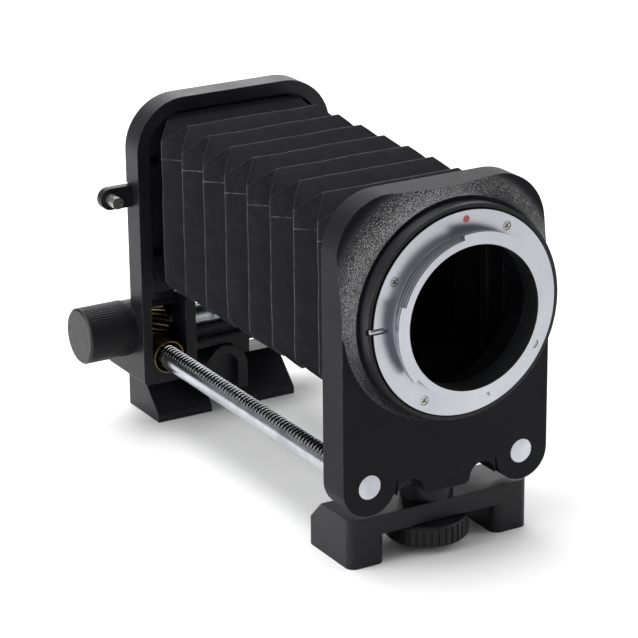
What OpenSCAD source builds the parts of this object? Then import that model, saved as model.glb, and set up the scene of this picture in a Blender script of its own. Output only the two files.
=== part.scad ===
// Macro bellows unit: two standards on a pair of rods, a rack and pinion focus drive,
// a folded cloth bellows between them, and a foot under each standard.
// The origin is on the optical axis in the face that seats against the camera.
// +Y points from the camera towards the lens, +Z is up, all sizes are millimetres.

/* [Camera mount] */
// Clear opening through the camera bayonet
throat_d = 46.2; // [40:0.1:48]
// Wall of the bayonet tube round the opening
tube_wall = 2.3; // [2:0.1:2.6]
// How far the three bayonet lugs stand out of the tube
lug_reach = 1.6; // [1:0.1:2]
// How far the bayonet stands out of its flange
bayonet_h = 5.1; // [4:0.1:7]
// Thickness of the bayonet lugs
lug_t = 1.7; // [1:0.1:2.4]
// Outside of the chrome flange
flange_d = 65; // [63:0.5:67]
// Thickness of the chrome flange
flange_t = 3; // [2.5:0.1:4]
// Outside of the black collar that carries the flange
collar_d = 68.4; // [68:0.1:70]
// Height of the collar's front rim below the flange face
collar_drop = 0.6; // [0.3:0.1:1]
// Circle of the four flange screws
screw_circle_r = 29.2; // [28.6:0.1:29.6]

/* [Standards] */
// Width of both standards
standard_w = 75; // [74:0.5:80]
// Height of their top edge over the optical axis
standard_top = 37.4; // [37:0.1:42]
// Radius of their top corners
corner_r = 18; // [14:0.5:22]
// Thickness of the camera standard
camera_plate_t = 12.1; // [11:0.1:15]
// Thickness of the lens standard's plate
lens_plate_t = 9.1; // [8.5:0.1:11]
// From the camera seat to the lower front of the camera standard
seat_to_plate = 9.7; // [9:0.1:12]
// How far the upper part of the camera standard is set back
shoulder_setback = 3.2; // [2:0.1:4]
// Radius of the hollow between the mount boss and the plate
boss_fillet_r = 8.6; // [8:0.1:10]
// Width of the rim round the lens standard's tray
tray_rim = 4.6; // [4:0.1:6]
// Depth of that tray
tray_depth = 3.5; // [3:0.1:4]
// Front to front distance between the standards, drawn out
draw = 134.1; // [120:0.5:145]

/* [Rods and focus drive] */
// Distance between the two rods
rod_spacing = 56; // [55:0.5:57]
// Height of the rods, below the optical axis
rod_z = -54.5; // [-57:0.5:-53]
// Diameter of the rods
rod_d = 8; // [7:0.1:8.5]
// Radius of the lobe round each rod end
lobe_r = 9.5; // [8.5:0.1:9.5]
// Module of the rack and pinion
gear_module = 0.6; // [0.5:0.05:0.7]
// Teeth of the pinion
gear_teeth = 18; // [16:1:20]
// Slant of the teeth in degrees
helix = 18; // [0:1:25]
// Length of the pinion's toothed part
pinion_w = 8; // [6:0.5:9]
// Distance of the pinion shaft behind the lens standard's front
shaft_setback = 12.7; // [12:0.1:14]
// Diameter of the pinion shaft
shaft_d = 5; // [4:0.1:6]
// Diameter of the focus knob
knob_d = 19.6; // [17:0.1:22]
// Length of the focus knob
knob_l = 16.8; // [14:0.1:20]
// Ribs round the focus knob
knob_ribs = 60; // [40:1:64]
// Depth of the rod blocks behind the lens standard's front
block_depth = 28; // [26.6:0.1:30]
// How far the lens standard can run towards the camera
travel = 80; // [60:1:84]

/* [Bellows] */
// Half width over the side ridges
fold_half_w = 31.2; // [29:0.1:31.4]
// Half height over the top ridges
fold_half_h = 31.2; // [29:0.1:31.4]
// Depth of the folds
fold_depth = 6.6; // [5:0.1:7.2]
// From the camera's frame to the first top ridge
fold_start = 4.1; // [3:0.1:5]
// Number of folds
folds = 8; // [6:1:10]
// Thickness of the cloth and card
cloth_t = 0.9; // [0.6:0.1:1.2]

/* [Camera foot] */
// Height of the ground under the optical axis
ground_z = -82.8; // [-85:0.1:-82]
// Half width over the camera foot
foot_half_w = 33.3; // [32:0.1:35]
// Width of each of its two blocks
foot_block_w = 13; // [11:0.1:15]
// Length of the camera foot
foot_l = 26.5; // [25:0.1:28]
// How far the foot's front lies behind the standard's front
foot_setback = 3.4; // [3:0.1:4.4]
// Height of the foot's top face
foot_top_z = -66.3; // [-67:0.1:-66]
// Height of the bar between the blocks
foot_bar_h = 6.5; // [5.5:0.1:7]
// Diameter of the round boss under the standard
foot_boss_d = 17; // [15:0.1:17]
// Diameter of the thumb wheel
wheel_d = 27; // [24:0.1:28]
// Height of the thumb wheel
wheel_h = 6.9; // [6:0.1:7.2]
// Ribs round the thumb wheel
wheel_ribs = 36; // [24:1:40]

/* [Lens foot] */
// Half width over the lens foot
lens_foot_half_w = 27.5; // [26:0.1:29]
// Width of each of its pads
lens_pad_w = 21.2; // [20:0.1:22]
// Length of the lens foot on the ground
lens_foot_l = 22.8; // [22:0.1:25]
// How far its front lies behind the lens standard's plate
lens_foot_setback = 1; // [0.5:0.1:2]
// Height of the flat strip along its front edge
lens_foot_lip = 2.5; // [1.5:0.1:3]
// Half width of the arched boss between the pads
arch_half_w = 8.5; // [8:0.1:9]

/* [Hidden] */

$fn = 72;
eps = 0.01;
// Running clearance of a shaft in its bore, on the radius
run_gap = 0.05;
// Clearance round a screw in its hole, on the radius
hole_gap = 0.2;

half_w = standard_w / 2;
rod_x = rod_spacing / 2;
rod_r = rod_d / 2;

// Planes along the optical axis
cam_front = seat_to_plate;
cam_back = cam_front + camera_plate_t;
shoulder_y = cam_front + shoulder_setback;
lens_front = cam_front + draw;
lens_back = lens_front + lens_plate_t;
block_back = lens_front + block_depth;
tray_y = lens_front + tray_depth;

// Mount boss and collar
root_d = throat_d + 2 * tube_wall;
lug_d = root_d + 2 * lug_reach;
collar_r = collar_d / 2;
boss_y = 5.2;
boss_face_r = collar_r + 1.25;
casting_bore_r = 27;
pocket_gap = 0.5;
collar_seat_y = flange_t;
spigot_t = 1.6;
mount_screw_r = 0.8;
mount_head_r = 1.35;
head_gap = 0.15;
head_inset = 0.15;
head_seat = 1.1;
cross_size = 1.7;
cross_depth = 0.6;
mount_screw_l = 7;
mount_hole_l = 6;
mount_angles = [60, 150, 240, 330];
lug_angles = [42.5, 162.5, 282.5];
lug_span = 56;
dot_r = 1.1;
dot_depth = 0.5;
dot_proud = 0.05;
dot_circle_r = 29.9;
slot_w = 1.9;
slot_depth = 1.5;
slot_inner_r = 28.4;
lock_pin_r = 0.8;
lock_pin_reach = 1.1;
lock_pin_gap = 0.9;

// Camera standard
arch_r = 4.8;
tongue_half_w = foot_boss_d / 2;
tongue_z = -61;
tongue_r = 2.2;
arch_x = tongue_half_w + arch_r;
arch_z = tongue_z + 1.4;
shoulder_z0 = -6;
shoulder_z1 = 10;
bellows_hole_w = 47;
bellows_hole_h = 51;
bellows_hole_r = 5;
bore_depth_y = cam_front + 5;

// Frames that hold the bellows
frame_t = 1.5;
frame_half_w = fold_half_w + 1.2;
frame_half_h = fold_half_h + 0.1;
frame_corner_r = 12;
frame_lip = 2.6;
frame_inner_w = fold_half_w - fold_depth - frame_lip;
frame_inner_h = fold_half_h - fold_depth - frame_lip;
frame_inner_r = 3;
frame_screw_x = frame_half_w - 2.1;
frame_screw_z = frame_half_h - 15;
frame_screw_r = 1;
frame_head_r = 1.7;
frame_head_h = 0.4;
frame_screw_l = 5.5;
frame_hole_l = frame_screw_l - frame_t + 0.2;
tray_bottom = -frame_half_h - 0.3;

// Bellows
bellows_y0 = cam_back + frame_t;
bellows_y1 = tray_y - frame_t;
fold_stop = 0.3;
fold_pitch = (bellows_y1 - bellows_y0 - fold_start - fold_stop) / folds;

// Rack and pinion
pitch_r = gear_module * gear_teeth / 2;
tip_r = pitch_r + gear_module;
root_r = pitch_r - 1.3 * gear_module;
pressure = 20;
base_r = pitch_r * cos(pressure);
rack_pitch = PI * gear_module;
backlash = 0.16;
tip_gap = 0.1;
groove_depth = 2.3 * gear_module;
rack_top_z = rod_z + rod_r;
shaft_y = lens_front + shaft_setback;
shaft_z = rack_top_z - gear_module + pitch_r + tip_gap;
rack_y0 = cam_back + 1.5;
rod_end = block_back + 0.5;
rod_end_gap = 0.25;
stop_t = 1.6;
stop_cross_size = 3.2;
stop_cross_depth = 0.8;
grub_hole_r = 1.5;
grub_r = 1.45;
grub_inset = 0.4;
hex_depth = 1.2;
stop_r = rod_r + 1.6;

// Blocks that run on the rods
block_inner_x = rod_x - 11;
block_bottom = rod_z - 9;
block_top = -31;
plate_bottom = block_top - 2;
block_edge_r = 1.2;
gear_shoulder = 1;
window_x0 = -rod_x - pinion_w / 2 - gear_shoulder - 1;
window_x1 = -rod_x + pinion_w / 2 + gear_shoulder + 2.1;
window_back = shaft_y + 9;
post_r = (window_x1 + block_inner_x) / -2;
post_top = plate_bottom - 1;
post_x = -block_inner_x;
bush_r = 5.7;
bush_l = 8;
bush_rim = 0.4;
bush_lip = 0.5;
bush_recess = 1.6;
rod_bore_gap = 0.4;
cross_bottom = -59.2;
cross_step_y = [12.3, 16.3, 21.3];
cross_step_top = [-57.1, -54.1, -49.4];
nut_l = 14.4;
nut_r = 4.1;
nut_bore_l = 9;
nut_notch_x = post_x + nut_bore_l + 0.6;
nut_notch_w = 1.9;
nut_notch_floor = -2.2;
nut_side_gap = 0.3;
shaft_reach = 12;
knob_stand = 1.6;
knob_hub_r = 6.5;
knob_side_gap = 0.3;
knob_grub_y = 4;
knob_grub_r = 1.2;
knob_grub_l = 4.15;
knob_edge = 0.6;
knob_rib_w = 0.4;
knob_rib_depth = 0.32;
knob_rib_start = 0.9;

// Lens bayonet
lens_ring_d = 64;
lens_ring_t = 3.4;
lens_throat_d = 47;
lens_lug_gap_d = 51;
lens_lip_t = 1.8;
lens_screw_circle_r = 28.6;
lens_screw_l = 3.8;
lens_dot_circle_r = 28.9;
lug_play = 2;
lens_hole_d = 50;

// Release slide: a tab that is pulled outwards to free the lens
tab_z = 4;
tab_t = 3;
tab_y = lens_back - tab_t - 0.7;
tab_screw_x = -half_w + 2.9;
tab_tip_x = -half_w - 7.8;
tab_r = 3.75;
tab_inner_x = -lens_hole_d / 2 - 3.9;
tab_nose_x = -lens_hole_d / 2 - 0.8;
tab_nose_r = 1.6;
tab_gap = 0.25;
tab_screw_r = 1.2;
tab_screw_head_r = 2.2;
tab_screw_depth = 3;
tab_head_gap = 0.1;
tab_slit_w = 0.5;
tab_stud_r = 2.05;
tab_stud_l = 8.6;
spring_l = 3.6;
spring_rise = 0.9;
spring_side_gap = 0.5;
spring_bends = 6;

// Camera foot
foot_front = cam_front + foot_setback;
foot_corner_r = 3;
foot_chamfer = 9;
foot_bar_bottom = foot_top_z - foot_bar_h;
wheel_y = foot_front + foot_boss_d / 2;
stud_r = 3.175;
washer_t = 0.5;
washer_reach = 3;
wheel_edge = 0.8;
wheel_rib_w = 0.7;
wheel_rib_depth = 0.45;
wheel_recess_r = 6.5;
wheel_recess = 0.6;
wheel_top = foot_bar_bottom - washer_t;
wheel_z = wheel_top - wheel_h;
stud_top = tongue_z + 9;
boss_back_z = tongue_z + 12;
socket_r = 2.55;
socket_depth = 5;

// Lens foot
lens_foot_y0 = lens_back + lens_foot_setback;
lens_foot_y1 = lens_foot_y0 + lens_foot_l;
lens_foot_top = -68.2;
lens_slope_y = lens_foot_y0 + lens_foot_top - ground_z - lens_foot_lip;
pad_inner_x = lens_foot_half_w - lens_pad_w;
arch_top = -59.4;
arch_floor = 3;
arch_pocket_half_w = 4.7;
arch_pocket_top = -62.2;
arch_bottom = -76;
foot_screw_x = block_inner_x - 4;
foot_screw_y = lens_slope_y + 4.2;
foot_screw_r = 1.5;
foot_screw_head_r = 2.7;
foot_screw_head_h = 3;
foot_screw_seat = lens_foot_top - 3;
foot_screw_bite = 5.5;

// Lock knob on the right-hand block
lock_y = lens_front + block_depth / 2 + 3;
lock_pad_r = 2.4;
lock_pad_l = 2.8;
lock_gap = 0.25;
lock_pad_x0 = rod_x + rod_r + lock_gap;
lock_pad_x1 = lock_pad_x0 + lock_pad_l;
lock_pocket_x1 = lock_pad_x1 + 0.55;
lock_shaft_r = 2;
lock_hub_r = 5;
lock_hub_l = 1.2;
lock_knob_x0 = max(half_w + 1.6, lock_pad_x1 + lock_hub_l);
lock_knob_r = 7.5;
lock_knob_l = 9;
lock_ribs = 24;
lock_rib_w = 0.7;
lock_rib_depth = 0.45;
lock_rib_start = 0.9;

// Colours
satin_black = "#232428";
cast_black = "#2b2c30";
chrome = "#d8dade";
steel = "#a9abaf";
brass = "#a88a4a";
cloth = "#26272d";
plastic_black = "#1f2023";

// ---------------------------------------------------------------- helpers

// Extrudes an XZ outline from y0 to y1.
module along_y(y0, y1) {
    translate([0, y1, 0]) rotate([90, 0, 0]) linear_extrude(y1 - y0) children();
}

// Extrudes a YZ outline from x0 to x1.
module along_x(x0, x1) {
    translate([x0, 0, 0]) rotate([90, 0, 90]) linear_extrude(x1 - x0) children();
}

// Turns an outline of [radius, y] points round the optical axis.
module turned() {
    rotate([-90, 0, 0]) rotate_extrude() children();
}

// A cylinder along +Y.
module rod_y(x, z, y0, y1, r) {
    translate([x, y0, z]) rotate([-90, 0, 0]) cylinder(h = y1 - y0, r = r);
}

// A cylinder along +X.
module rod_x(x0, x1, y, z, r) {
    translate([x0, y, z]) rotate([0, 90, 0]) cylinder(h = x1 - x0, r = r);
}

// A rectangle with true round corners, given by two of its corners.
module rounded(x0, z0, x1, z1, r) {
    translate([x0 + r, z0]) square([x1 - x0 - 2 * r, z1 - z0]);
    translate([x0, z0 + r]) square([x1 - x0, z1 - z0 - 2 * r]);
    for (x = [x0 + r, x1 - r], z = [z0 + r, z1 - r]) translate([x, z]) circle(r);
}

// The shape that both standards share down to z: round top corners, square below.
module standard_top_outline(inset, z) {
    r = corner_r - inset;
    w = half_w - inset;
    top = standard_top - inset;
    translate([-w, z]) square([2 * w, top - r - z]);
    translate([-w + r, z]) square([2 * (w - r), top - z]);
    for (s = [-1, 1]) translate([s * (w - r), top - r]) circle(r);
}

// A cross-head cut for a screw head whose face is at y, cut towards +Y.
module cross_cut(x, z, y, size, depth) {
    for (a = [45, 135]) translate([x, y + depth / 2 - eps, z]) rotate([0, a, 0])
        cube([size, depth + 2 * eps, size / 3.4], center = true);
}

// ---------------------------------------------------------------- camera standard

module camera_outline() {
    standard_top_outline(0, rod_z);
    for (s = [-1, 1]) translate([s * rod_x, rod_z]) circle(lobe_r);
    difference() {
        translate([-arch_x - arch_r, arch_z]) square([2 * (arch_x + arch_r), rod_z + 2 - arch_z]);
        for (s = [-1, 1]) translate([s * arch_x, arch_z]) circle(arch_r);
    }
    rounded(-tongue_half_w, tongue_z, tongue_half_w, rod_z + 2, tongue_r);
}

module mount_boss() {
    turned() difference() {
        translate([casting_bore_r - 2, boss_y]) square([boss_face_r + boss_fillet_r - casting_bore_r + 2,
            shoulder_y + 1 - boss_y]);
        translate([boss_face_r + boss_fillet_r, shoulder_y + 0.05 - boss_fillet_r]) circle(boss_fillet_r);
    }
}

module camera_standard() {
    color(cast_black) difference() {
        union() {
            intersection() {
                union() {
                    along_x(-half_w - 1, half_w + 1) polygon([[cam_front, rod_z - 2 * lobe_r],
                        [cam_front, shoulder_z0], [shoulder_y, shoulder_z1], [shoulder_y, standard_top + 1],
                        [cam_back, standard_top + 1], [cam_back, rod_z - 2 * lobe_r]]);
                    mount_boss();
                }
                along_y(boss_y - 1, cam_back + 1) camera_outline();
            }
            translate([0, wheel_y, tongue_z]) cylinder(h = boss_back_z - tongue_z, d = foot_boss_d);
        }
        rod_y(0, 0, 0, bore_depth_y, casting_bore_r);
        along_y(bore_depth_y - eps, cam_back + 1)
            rounded(-bellows_hole_w / 2, -bellows_hole_h / 2, bellows_hole_w / 2, bellows_hole_h / 2,
                bellows_hole_r);
        for (s = [-1, 1]) {
            rod_y(s * rod_x, rod_z, cam_front - 1, cam_back + 1, rod_r + run_gap);
            translate([s * rod_x, (cam_front + cam_back) / 2, rod_z - lobe_r - 1])
                cylinder(h = lobe_r, r = grub_hole_r);
            for (t = [-1, 1])
                rod_y(s * frame_screw_x, t * frame_screw_z, cam_back - frame_hole_l, cam_back + 1,
                    frame_screw_r);
        }
        for (a = mount_angles)
            rod_y(screw_circle_r * cos(a), screw_circle_r * sin(a), boss_y - 1, boss_y + mount_hole_l,
                mount_screw_r);
        translate([0, wheel_y, tongue_z - 1]) cylinder(h = stud_top - tongue_z + 1.6, r = stud_r + run_gap);
    }
}

// ---------------------------------------------------------------- camera bayonet

module mount_collar() {
    color(satin_black) difference() {
        turned() {
            translate([casting_bore_r - spigot_t, collar_seat_y])
                square([collar_r - casting_bore_r + spigot_t, boss_y - collar_seat_y]);
            translate([flange_d / 2 + pocket_gap, collar_drop])
                square([collar_r - flange_d / 2 - pocket_gap, boss_y - collar_drop]);
            translate([casting_bore_r - spigot_t, collar_seat_y])
                square([spigot_t - run_gap, bore_depth_y - collar_seat_y - 2]);
        }
        for (a = mount_angles)
            rod_y(screw_circle_r * cos(a), screw_circle_r * sin(a), 0, boss_y + 1, mount_screw_r);
        lock_slot(collar_r + 1, slot_depth + 0.2);
    }
}

// The slot at nine o'clock in the flange and the collar's rim.
module lock_slot(outer_r, depth) {
    translate([-outer_r, -1, -slot_w / 2]) cube([outer_r - slot_inner_r, depth + 1, slot_w]);
    rod_y(-slot_inner_r, 0, -1, depth, slot_w / 2);
}

module camera_bayonet() {
    color(chrome) difference() {
        union() {
            turned() {
                translate([throat_d / 2 - 1, 0]) square([flange_d / 2 - throat_d / 2 + 1, flange_t]);
                translate([throat_d / 2 - 1, -bayonet_h])
                    square([(root_d - throat_d) / 2 + 1, bayonet_h + 1]);
            }
            for (a = lug_angles) rotate([0, -a, 0]) bayonet_lug(lug_span);
        }
        rod_y(0, 0, -bayonet_h - 1, flange_t + 1, throat_d / 2);
        for (a = mount_angles) {
            rod_y(screw_circle_r * cos(a), screw_circle_r * sin(a), -1, flange_t + 1,
                mount_screw_r + hole_gap);
            rod_y(screw_circle_r * cos(a), screw_circle_r * sin(a), -1, head_seat, mount_head_r + head_gap);
        }
        rod_y(0, dot_circle_r, -1, dot_depth, dot_r);
        lock_slot(flange_d / 2 + 1, slot_depth);
    }
}

// One bayonet lug, from zero to the given angle round the tube.
module bayonet_lug(span) {
    rotate([90, 0, 0]) translate([0, 0, bayonet_h - lug_t])
        rotate_extrude(angle = span) translate([root_d / 2 - 1, 0]) square([(lug_d - root_d) / 2 + 1, lug_t]);
}

module mount_screws() {
    color(steel) for (a = mount_angles) difference() {
        x = screw_circle_r * cos(a);
        z = screw_circle_r * sin(a);
        union() {
            rod_y(x, z, head_inset, head_seat, mount_head_r);
            rod_y(x, z, head_seat - 0.1, mount_screw_l, mount_screw_r);
        }
        cross_cut(x, z, head_inset, cross_size, cross_depth);
    }
}

module index_dot() {
    color("#c22232") rod_y(0, dot_circle_r, -dot_proud, dot_depth, dot_r);
}

module lock_pin() {
    color(chrome) rod_x(-flange_d / 2 - lock_pin_reach, -slot_inner_r - lock_pin_gap,
        slot_depth - lock_pin_r, 0, lock_pin_r);
}

// ---------------------------------------------------------------- rods

// One groove between two rack teeth, at the rod's top.
module rack_groove(y) {
    half_mid = rack_pitch / 4 + backlash / 4;
    half_top = half_mid + (gear_module + 0.5) * tan(pressure);
    half_low = half_mid - (groove_depth - gear_module) * tan(pressure);
    translate([-rod_x, y, rack_top_z]) rotate([0, 0, helix]) along_x(-rod_r * 1.5, rod_r * 1.5)
        polygon([[-half_top, 0.5], [half_top, 0.5], [half_low, -groove_depth], [-half_low, -groove_depth]]);
}

module rack_rod() {
    grooves = floor((rod_end - 1 - rack_y0) / rack_pitch);
    color(chrome) difference() {
        rod_y(-rod_x, rod_z, cam_front + rod_end_gap, rod_end, rod_r);
        for (i = [-grooves : grooves])
            if (shaft_y + i * rack_pitch > rack_y0 && shaft_y + i * rack_pitch < rod_end - 2)
                rack_groove(shaft_y + i * rack_pitch);
    }
}

module plain_rod() {
    color(chrome) rod_y(rod_x, rod_z, cam_front + rod_end_gap, rod_end, rod_r);
}

module rod_grub_screws() {
    color(steel) for (s = [-1, 1])
        translate([s * rod_x, (cam_front + cam_back) / 2, rod_z - lobe_r + grub_inset]) difference() {
            cylinder(h = lobe_r - rod_r - grub_inset - run_gap, r = grub_r);
            translate([0, 0, -eps]) cylinder(h = hex_depth, r = grub_r / 2, $fn = 6);
        }
}

module rod_stops() {
    color(steel) for (s = [-1, 1]) difference() {
        rod_y(s * rod_x, rod_z, rod_end, rod_end + stop_t, stop_r);
        cross_cut(s * rod_x, rod_z, rod_end + stop_t - stop_cross_depth, stop_cross_size,
            stop_cross_depth + 0.1);
    }
}

// ---------------------------------------------------------------- bellows and its frames

module frame_plate(y) {
    along_y(y, y + frame_t) difference() {
        rounded(-frame_half_w, -frame_half_h, frame_half_w, frame_half_h, frame_corner_r);
        rounded(-frame_inner_w, -frame_inner_h, frame_inner_w, frame_inner_h, frame_inner_r);
    }
}

module frame_holes(y) {
    for (s = [-1, 1], t = [-1, 1])
        rod_y(s * frame_screw_x, t * frame_screw_z, y - 1, y + frame_t + 1, frame_screw_r + hole_gap);
}

module camera_bellows_frame() {
    color(satin_black) difference() {
        frame_plate(cam_back);
        frame_holes(cam_back);
    }
}

module lens_bellows_frame() {
    color(satin_black) difference() {
        frame_plate(tray_y - frame_t);
        frame_holes(tray_y - frame_t);
    }
}

// Four screws through a frame; the heads lie at y and the shanks point along dir.
module frame_screws(y, dir) {
    for (s = [-1, 1], t = [-1, 1])
    translate([s * frame_screw_x, y, t * frame_screw_z]) rotate([-90 * dir, 0, 0]) {
        translate([0, 0, -frame_head_h]) cylinder(h = frame_head_h, r = frame_head_r);
        cylinder(h = frame_screw_l, r = frame_screw_r);
    }
}

module camera_frame_screws() {
    color(steel) frame_screws(cam_back + frame_t, -1);
}

module lens_frame_screws() {
    color(steel) frame_screws(tray_y - frame_t, 1);
}

// Corner points of one ring of the bellows, in order round the axis.
// The folds of the sides lie half a pitch from those of the top and bottom: at t = 1 the
// top and bottom are out and the sides in, at t = 0 the other way round.
function ring(t, inset) =
    let (w = fold_half_w - fold_depth * t - inset, h = fold_half_h - fold_depth * (1 - t) - inset)
    [[w, -h], [w, h], [-w, h], [-w, -h]];

// Rings along the bellows as [y, t].
ring_stations = concat([[bellows_y0, 1 - 2 * fold_start / fold_pitch]],
    [for (i = [0 : 2 * folds]) [bellows_y0 + fold_start + i * fold_pitch / 2, (i + 1) % 2]],
    [[bellows_y1, 1 - 2 * fold_stop / fold_pitch]]);

function ring_points(inset) = [for (s = ring_stations, p = ring(s[1], inset)) [p[0], s[0], p[1]]];

module bellows() {
    n = len(ring_stations);
    outer = ring_points(0);
    inner = ring_points(cloth_t);
    inside = n * 4;
    skin = [for (i = [0 : n - 2], k = [0 : 3]) let (a = i * 4 + k, b = i * 4 + (k + 1) % 4)
        each [[a, a + 4, b], [b, a + 4, b + 4]]];
    lining = [for (f = skin) [f[0] + inside, f[2] + inside, f[1] + inside]];
    ends = [for (k = [0 : 3]) let (j = (k + 1) % 4, e = (n - 1) * 4)
        each [[k, j, inside + k], [j, inside + j, inside + k],
              [e + k, inside + e + k, e + j], [e + j, inside + e + k, inside + e + j]]];
    color(cloth)
        polyhedron(points = concat(outer, inner), faces = concat(skin, lining, ends), convexity = 10);
}

// ---------------------------------------------------------------- camera foot

module foot_outline() {
    y0 = foot_front;
    y1 = foot_front + foot_l;
    polygon([[y0, ground_z], [y0, foot_top_z], [y1 - foot_chamfer, foot_top_z],
        [y1, foot_top_z - foot_chamfer], [y1, ground_z]]);
}

module foot_block(s) {
    x0 = s > 0 ? foot_half_w - foot_block_w : -foot_half_w;
    intersection() {
        along_x(x0, x0 + foot_block_w) foot_outline();
        translate([0, 0, ground_z - 1]) linear_extrude(foot_top_z - ground_z + 2)
            rounded(x0, foot_front, x0 + foot_block_w, foot_front + foot_l, foot_corner_r);
    }
}

module camera_foot() {
    color(satin_black) difference() {
        union() {
            for (s = [-1, 1]) foot_block(s);
            translate([-foot_half_w + foot_corner_r, foot_front, foot_bar_bottom])
                cube([2 * (foot_half_w - foot_corner_r), foot_l - foot_chamfer, foot_bar_h]);
            translate([0, wheel_y, foot_bar_bottom])
                cylinder(h = tongue_z - foot_bar_bottom, d = foot_boss_d);
        }
        translate([0, wheel_y, foot_bar_bottom - 1])
            cylinder(h = tongue_z - foot_bar_bottom + 2, r = stud_r + hole_gap);
    }
}

module clamp_washer() {
    color(steel) translate([0, wheel_y, wheel_top]) difference() {
        cylinder(h = washer_t, r = stud_r + washer_reach);
        translate([0, 0, -1]) cylinder(h = washer_t + 2, r = stud_r + hole_gap);
    }
}

module clamp_stud() {
    color(steel) translate([0, wheel_y, wheel_z + socket_depth]) difference() {
        cylinder(h = stud_top - wheel_z - socket_depth, r = stud_r);
        translate([0, 0, stud_top - wheel_z - socket_depth - 0.5]) difference() {
            cylinder(h = 1, r = stud_r + 1);
            translate([0, 0, -eps]) cylinder(h = 0.52, r1 = stud_r, r2 = stud_r - 0.5);
        }
    }
}

module thumb_wheel() {
    color(plastic_black) translate([0, wheel_y, wheel_z]) difference() {
        union() {
            cylinder(h = wheel_edge, r1 = wheel_d / 2 - wheel_edge, r2 = wheel_d / 2);
            translate([0, 0, wheel_edge]) cylinder(h = wheel_h - 2 * wheel_edge, r = wheel_d / 2);
            translate([0, 0, wheel_h - wheel_edge])
                cylinder(h = wheel_edge, r1 = wheel_d / 2, r2 = wheel_d / 2 - wheel_edge);
        }
        for (i = [0 : wheel_ribs - 1]) rotate([0, 0, (i + 0.5) * 360 / wheel_ribs])
            translate([wheel_d / 2 - wheel_rib_depth, -wheel_rib_w / 2, -1])
                cube([2, wheel_rib_w, wheel_h + 2]);
        translate([0, 0, -1]) cylinder(h = socket_depth + 1 + eps, r = socket_r);
        translate([0, 0, socket_depth]) cylinder(h = wheel_h, r = stud_r);
        translate([0, 0, -1]) cylinder(h = wheel_recess + 1, r = wheel_recess_r);
    }
}

// ---------------------------------------------------------------- lens standard

// The front plate: a tray with the bellows' frame in it, and the hole for the light.
module lens_standard() {
    color(cast_black) difference() {
        along_y(lens_front, lens_back) standard_top_outline(0, plate_bottom);
        along_y(lens_front - 1, tray_y) standard_top_outline(tray_rim, tray_bottom);
        rod_y(0, 0, lens_front - 1, lens_back + 1, lens_hole_d / 2);
        translate([window_x0, lens_front - 1, plate_bottom - 1])
            cube([window_x1 - window_x0, lens_plate_t + 2, tray_bottom - plate_bottom + 1 + eps]);
        for (s = [-1, 1], t = [-1, 1])
            rod_y(s * frame_screw_x, t * frame_screw_z, tray_y - 1, tray_y + frame_hole_l, frame_screw_r);
        for (a = mount_angles)
            rod_y(lens_screw_circle_r * cos(a), lens_screw_circle_r * sin(a), lens_back - lens_screw_l - 0.2,
                lens_back + 1, mount_screw_r);
        tab_channel();
    }
}

// A block round one rod, from the plate's lower edge down and on behind the plate.
module rod_block(s) {
    x0 = s > 0 ? block_inner_x : -half_w;
    difference() {
        along_y(lens_front, block_back)
            rounded(x0, block_bottom, x0 + half_w - block_inner_x, block_top, block_edge_r);
        translate([-half_w - 1, lens_front - 1, plate_bottom])
            cube([2 * half_w + 2, lens_plate_t + 1, block_top - plate_bottom + 1]);
        rod_y(s * rod_x, rod_z, lens_front - 1, block_back + 1, rod_r + rod_bore_gap);
        rod_y(s * rod_x, rod_z, lens_front - 1, lens_front + bush_l, bush_r);
        rod_y(s * rod_x, rod_z, block_back - bush_l, block_back + 1, bush_r);
    }
}

// The left block has the gear window: open to the front, closed behind, with a slim post
// on its inner side that ends round under the plate.
module left_rod_block() {
    color(cast_black) difference() {
        rod_block(-1);
        along_y(lens_front - 1, window_back) translate([window_x0, rod_z])
            square([window_x1 - window_x0, plate_bottom - rod_z]);
        along_y(lens_front - 1, lens_back) difference() {
            translate([window_x1 - 1, post_top - post_r]) square([2 * post_r + 2, post_r + 2]);
            translate([window_x1 + post_r, post_top - post_r]) circle(post_r);
        }
        rod_x(-half_w - 1, post_x + 1, shaft_y, shaft_z, shaft_d / 2 + run_gap);
    }
}

module right_rod_block() {
    color(cast_black) difference() {
        rod_block(1);
        rod_x(lock_pocket_x1, half_w + 1, lock_y, rod_z, lock_shaft_r + run_gap);
        rod_x(rod_x, lock_pocket_x1, lock_y, rod_z, lock_pad_r + run_gap);
    }
}

// The stepped bridge between the two blocks, which the lens foot hangs from.
module block_bridge() {
    tops = concat([cross_bottom], cross_step_top);
    stairs = [for (i = [0 : 2], top = [tops[i], tops[i + 1]]) [lens_front + cross_step_y[i], top]];
    color(cast_black) difference() {
        along_x(-block_inner_x, block_inner_x)
            polygon(concat([[block_back, cross_bottom]], stairs, [[block_back, tops[3]]]));
        for (s = [-1, 1])
            translate([s * foot_screw_x, foot_screw_y, cross_bottom - 1])
                cylinder(h = foot_screw_bite + 1.5, r = foot_screw_r);
    }
}

// Channel from the left edge that the release tab slides in, open at the back.
module tab_channel() {
    depth = lens_back - tab_y + tab_gap + 1;
    translate([-half_w - 1, tab_y - tab_gap, tab_z - tab_r - tab_gap])
        cube([half_w + 1 + tab_inner_x + tab_gap, depth, 2 * (tab_r + tab_gap)]);
    translate([tab_inner_x, tab_y - tab_gap, tab_z - tab_nose_r - tab_gap])
        cube([-tab_inner_x - lens_hole_d / 2 + 2, depth, 2 * (tab_nose_r + tab_gap)]);
    rod_y(tab_screw_x, tab_z, tab_y - tab_gap - tab_screw_depth, tab_y, tab_screw_r);
}

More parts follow.
